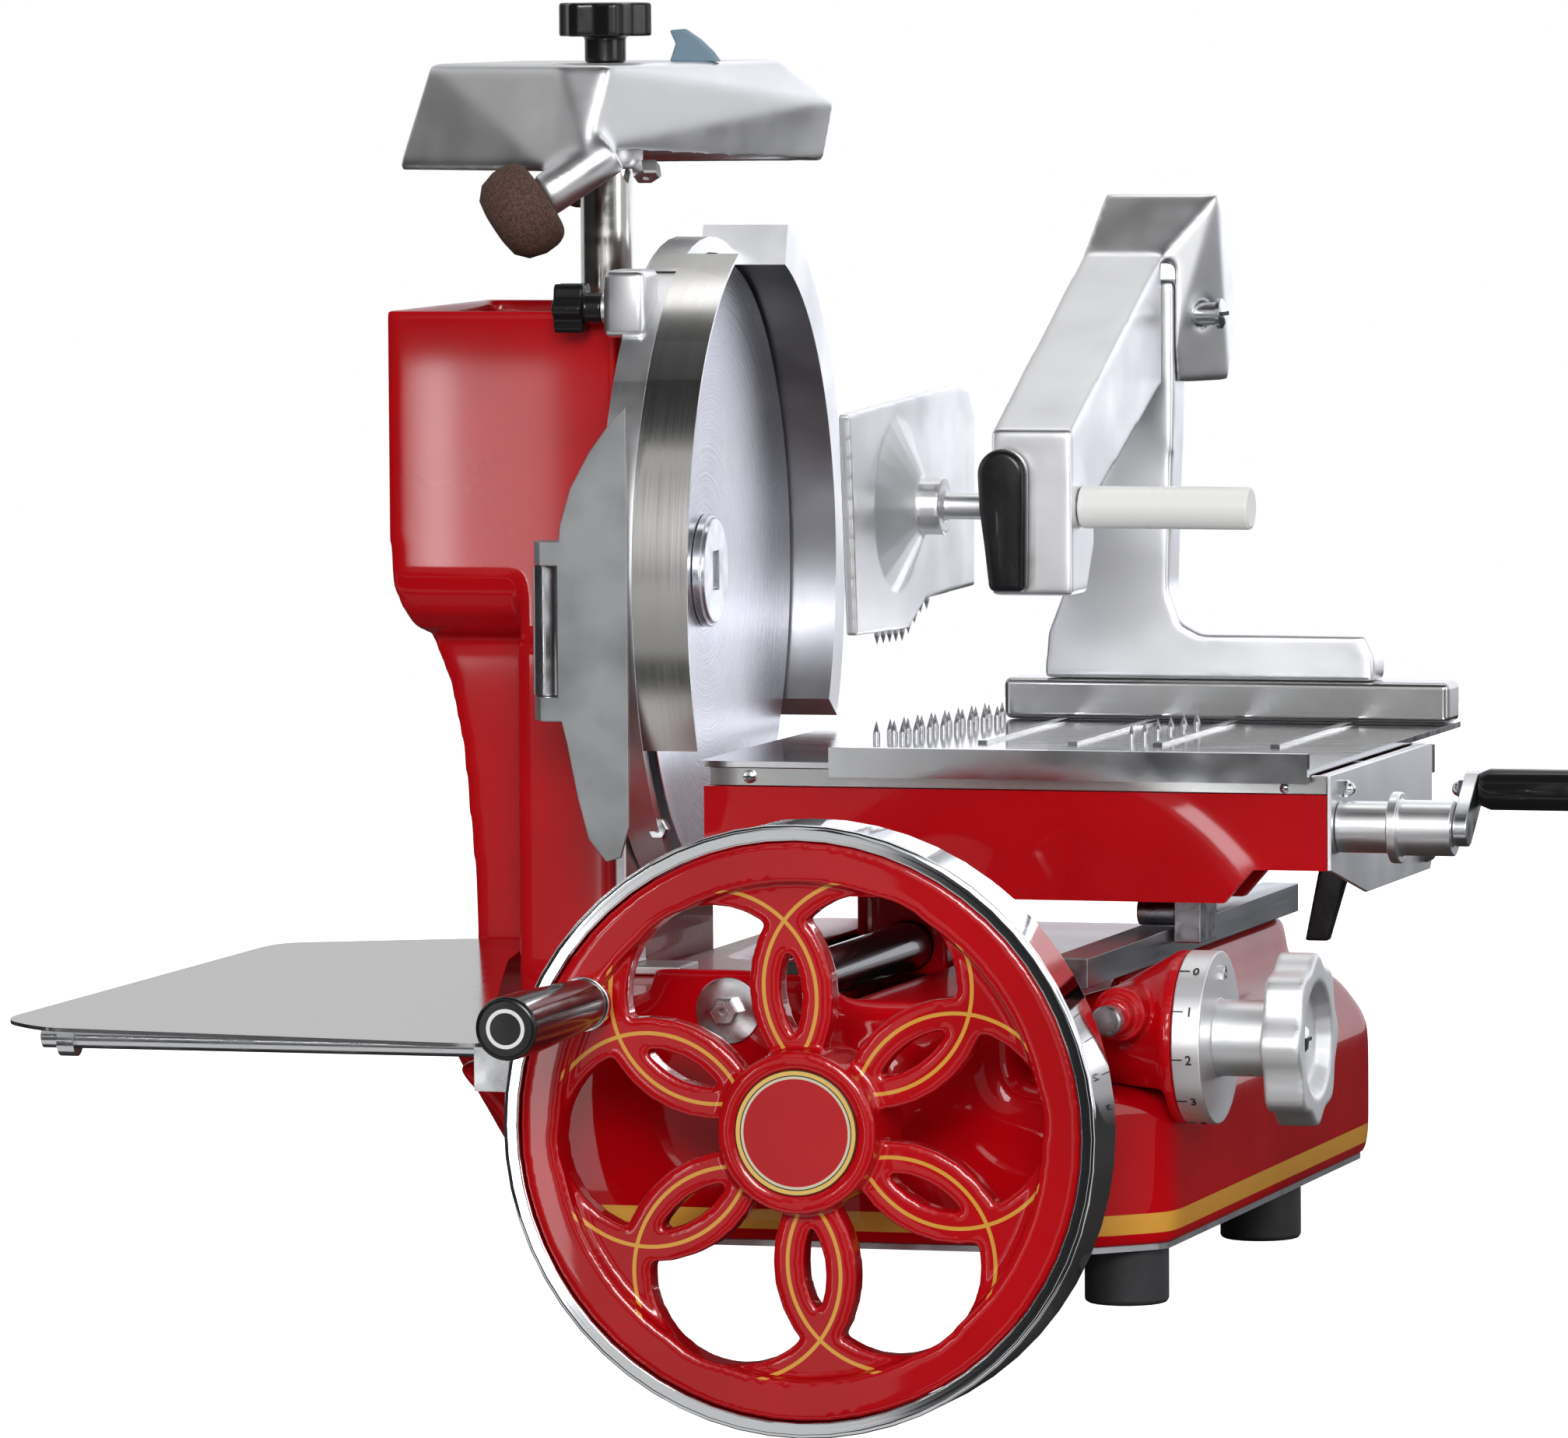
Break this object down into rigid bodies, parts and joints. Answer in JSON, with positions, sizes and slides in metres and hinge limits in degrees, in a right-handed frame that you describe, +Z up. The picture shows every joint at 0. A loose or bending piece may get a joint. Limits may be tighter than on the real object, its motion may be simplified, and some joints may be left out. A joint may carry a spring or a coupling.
{
  "type": "hand-cranked flywheel slicer",
  "caption": "Manual food slicer: a crank flywheel turns a round blade while a carriage with a feed table slides past it; sharpener on top, slice tray at the side.",
  "frame": {"origin": "middle of the four feet, on the counter top", "axes": "+X along the blade axis towards the feed crank, +Y away from the flywheel, +Z up"},
  "size_m": [0.7595, 0.7256, 0.6948],
  "materials": {
    "red_enamel": "glossy deep red enamel with a slight orange peel",
    "chrome": "mirror chrome",
    "steel": "ground and polished stainless steel",
    "dark_steel": "oiled dark steel",
    "satin_aluminium": "satin cast aluminium",
    "grey_aluminium": "matte grey cast aluminium",
    "black_plastic": "glossy black moulded plastic",
    "white_plastic": "white moulded plastic",
    "rubber": "matte black rubber",
    "stone": "coarse brown abrasive stone",
    "blue_grey_plastic": "blue-grey plastic"
  },
  "bodies": {
    "root": {"base_casting": "red_enamel", "base_cover": "steel", "foot_front_left": "rubber", "foot_front_right": "rubber", "foot_rear_left": "rubber", "foot_rear_right": "rubber", "guide_rod": "black_plastic", "carriage_rail": "dark_steel", "column_casting": "red_enamel", "blade_bearing": "satin_aluminium", "guard_ring": "satin_aluminium", "guard_bracket": "satin_aluminium", "drive_chain": "dark_steel", "tray_rod": "steel", "dial_housing": "red_enamel"},
    "flywheel": {"flywheel": "red_enamel", "flywheel_rim": "chrome", "flywheel_badge": "red_enamel", "flywheel_shaft": "steel", "drive_bevel_gear": "steel", "grip_spindle": "chrome"},
    "flywheel_grip": {"flywheel_grip": "black_plastic"},
    "lay_shaft": {"lay_shaft": "steel", "driven_bevel_gear": "steel", "drive_sprocket": "dark_steel"},
    "connecting_rod": {"connecting_rod": "steel"},
    "blade": {"blade": "chrome", "blade_nut": "steel", "blade_spindle": "steel", "blade_sprocket": "dark_steel"},
    "blade_cover": {"blade_cover_band": "chrome"},
    "cover_knob": {"cover_knob": "black_plastic"},
    "deflector": {"deflector": "grey_aluminium"},
    "sharpener_post": {"sharpener_post": "steel"},
    "sharpener": {"sharpener_hood": "satin_aluminium"},
    "sharpener_knob": {"sharpener_knob": "black_plastic"},
    "sharpener_lever": {"sharpener_lever": "blue_grey_plastic"},
    "grinding_stone": {"grinding_stone": "stone"},
    "honing_stone": {"honing_stone": "stone"},
    "receiving_tray": {"receiving_tray": "steel"},
    "carriage": {"carriage_frame": "red_enamel", "carriage_trim": "steel", "carriage_side_plate": "steel", "carriage_bearing": "red_enamel", "roller_bracket": "dark_steel", "crank_barrel": "steel"},
    "release_lever": {"release_lever": "black_plastic"},
    "feed_table": {"feed_table": "steel", "back_fence": "steel"},
    "feed_crank": {"feed_screw": "steel", "crank_arm": "steel"},
    "crank_grip": {"crank_grip": "black_plastic"},
    "clamp": {"clamp_upright": "satin_aluminium", "clamp_pivot": "steel"},
    "clamp_arm": {"clamp_arm": "satin_aluminium"},
    "pusher": {"pusher_plate": "satin_aluminium", "push_handle": "white_plastic"},
    "lock_lever": {"lock_lever": "black_plastic"},
    "thickness_dial": {"thickness_dial": "satin_aluminium", "thickness_handwheel": "satin_aluminium"}
  },
  "joints": [
    {"name": "flywheel_spin", "type": "hinge", "parent": "root", "child": "flywheel", "pos_m": [0.0105, -0.26, 0.0965], "axis": [0, 1, 0], "continuous": true},
    {"name": "flywheel_grip_spin", "type": "hinge", "parent": "flywheel", "child": "flywheel_grip", "pos_m": [-0.097, -0.35, 0.15708], "axis": [0, 1, 0], "continuous": true},
    {"name": "lay_shaft_spin", "type": "hinge", "parent": "root", "child": "lay_shaft", "pos_m": [-0.1, 0.034, 0.0965], "axis": [1, 0, 0], "continuous": true},
    {"name": "connecting_rod_swing", "type": "hinge", "parent": "lay_shaft", "child": "connecting_rod", "pos_m": [-0.0855, 0.046, 0.0965], "axis": [1, 0, 0], "continuous": true},
    {"name": "blade_spin", "type": "hinge", "parent": "root", "child": "blade", "pos_m": [-0.121, 0.034, 0.35], "axis": [0.9986, 0.0523, 0], "continuous": true},
    {"name": "blade_cover_lift", "type": "slide", "parent": "root", "child": "blade_cover", "axis": [0.0487, -0.9291, 0.3665], "range_m": [0, 0.04]},
    {"name": "cover_knob_turn", "type": "hinge", "parent": "root", "child": "cover_knob", "pos_m": [-0.15577, -0.06692, 0.48823], "axis": [0.9986, 0.0523, 0], "range_deg": [0, 720]},
    {"name": "deflector_swing", "type": "hinge", "parent": "root", "child": "deflector", "pos_m": [-0.163, -0.128, 0.33], "axis": [0, 0, 1], "range_deg": [-100, 0]},
    {"name": "sharpener_lift", "type": "slide", "parent": "root", "child": "sharpener_post", "axis": [0, 0, 1], "range_m": [0, 0.03]},
    {"name": "sharpener_swivel", "type": "hinge", "parent": "sharpener_post", "child": "sharpener", "pos_m": [-0.188, 0.06, 0.58], "axis": [0, 0, 1], "range_deg": [-150, 25]},
    {"name": "sharpener_knob_turn", "type": "hinge", "parent": "sharpener", "child": "sharpener_knob", "pos_m": [-0.188, 0.06, 0.62], "axis": [0, 0, 1], "range_deg": [0, 720]},
    {"name": "sharpener_lever_swing", "type": "hinge", "parent": "sharpener", "child": "sharpener_lever", "pos_m": [-0.149, 0.092, 0.615], "axis": [0, 0, 1], "range_deg": [-30, 30]},
    {"name": "grinding_stone_spin", "type": "hinge", "parent": "sharpener", "child": "grinding_stone", "pos_m": [-0.21014, -0.01545, 0.53561], "axis": [-0.7728, -0.3289, -0.5428], "continuous": true},
    {"name": "honing_stone_spin", "type": "hinge", "parent": "sharpener", "child": "honing_stone", "pos_m": [-0.21698, 0.10097, 0.54849], "axis": [-0.4992, 0.6656, -0.5547], "continuous": true},
    {"name": "tray_lift_off", "type": "slide", "parent": "root", "child": "receiving_tray", "axis": [0, 0, 1], "range_m": [0, 0.08]},
    {"name": "carriage_slide", "type": "slide", "parent": "root", "child": "carriage", "axis": [0, 1, 0], "range_m": [-0.18, 0.02]},
    {"name": "release_lever_swing", "type": "hinge", "parent": "carriage", "child": "release_lever", "pos_m": [0.2067, 0.0235, 0.214], "axis": [1, 0, 0], "range_deg": [-20, 20]},
    {"name": "table_feed", "type": "slide", "parent": "carriage", "child": "feed_table", "axis": [1, 0, 0], "range_m": [0, 0.0595]},
    {"name": "feed_crank_turn", "type": "hinge", "parent": "carriage", "child": "feed_crank", "pos_m": [0.25, -0.036, 0.229], "axis": [1, 0, 0], "range_deg": [0, 2700]},
    {"name": "crank_grip_spin", "type": "hinge", "parent": "feed_crank", "child": "crank_grip", "pos_m": [0.31, -0.01204, 0.24705], "axis": [1, 0, 0], "continuous": true},
    {"name": "clamp_slide", "type": "slide", "parent": "feed_table", "child": "clamp", "axis": [1, 0, 0], "range_m": [-0.02, 0.03]},
    {"name": "clamp_arm_swing", "type": "hinge", "parent": "clamp", "child": "clamp_arm", "pos_m": [0.05, 0.274, 0.474], "axis": [1, 0, 0], "range_deg": [-50, 8]},
    {"name": "pusher_slide", "type": "slide", "parent": "clamp_arm", "child": "pusher", "axis": [1, 0, 0], "range_m": [0, 0.025]},
    {"name": "lock_lever_turn", "type": "hinge", "parent": "clamp_arm", "child": "lock_lever", "pos_m": [0.021, 0.068, 0.395], "axis": [0, 1, 0], "range_deg": [-45, 0]},
    {"name": "thickness_dial_turn", "type": "hinge", "parent": "root", "child": "thickness_dial", "pos_m": [0.2, -0.145, 0.133], "axis": [1, 0, 0], "range_deg": [0, 300]}
  ],
  "couplings": [
    {"joint": "lay_shaft_spin", "follows": "flywheel_spin", "ratio": -1},
    {"joint": "connecting_rod_swing", "follows": "flywheel_spin", "ratio": 1},
    {"joint": "blade_spin", "follows": "flywheel_spin", "ratio": -2.8},
    {"joint": "feed_crank_turn", "follows": "table_feed", "rad_per_m": 785.4}
  ]
}
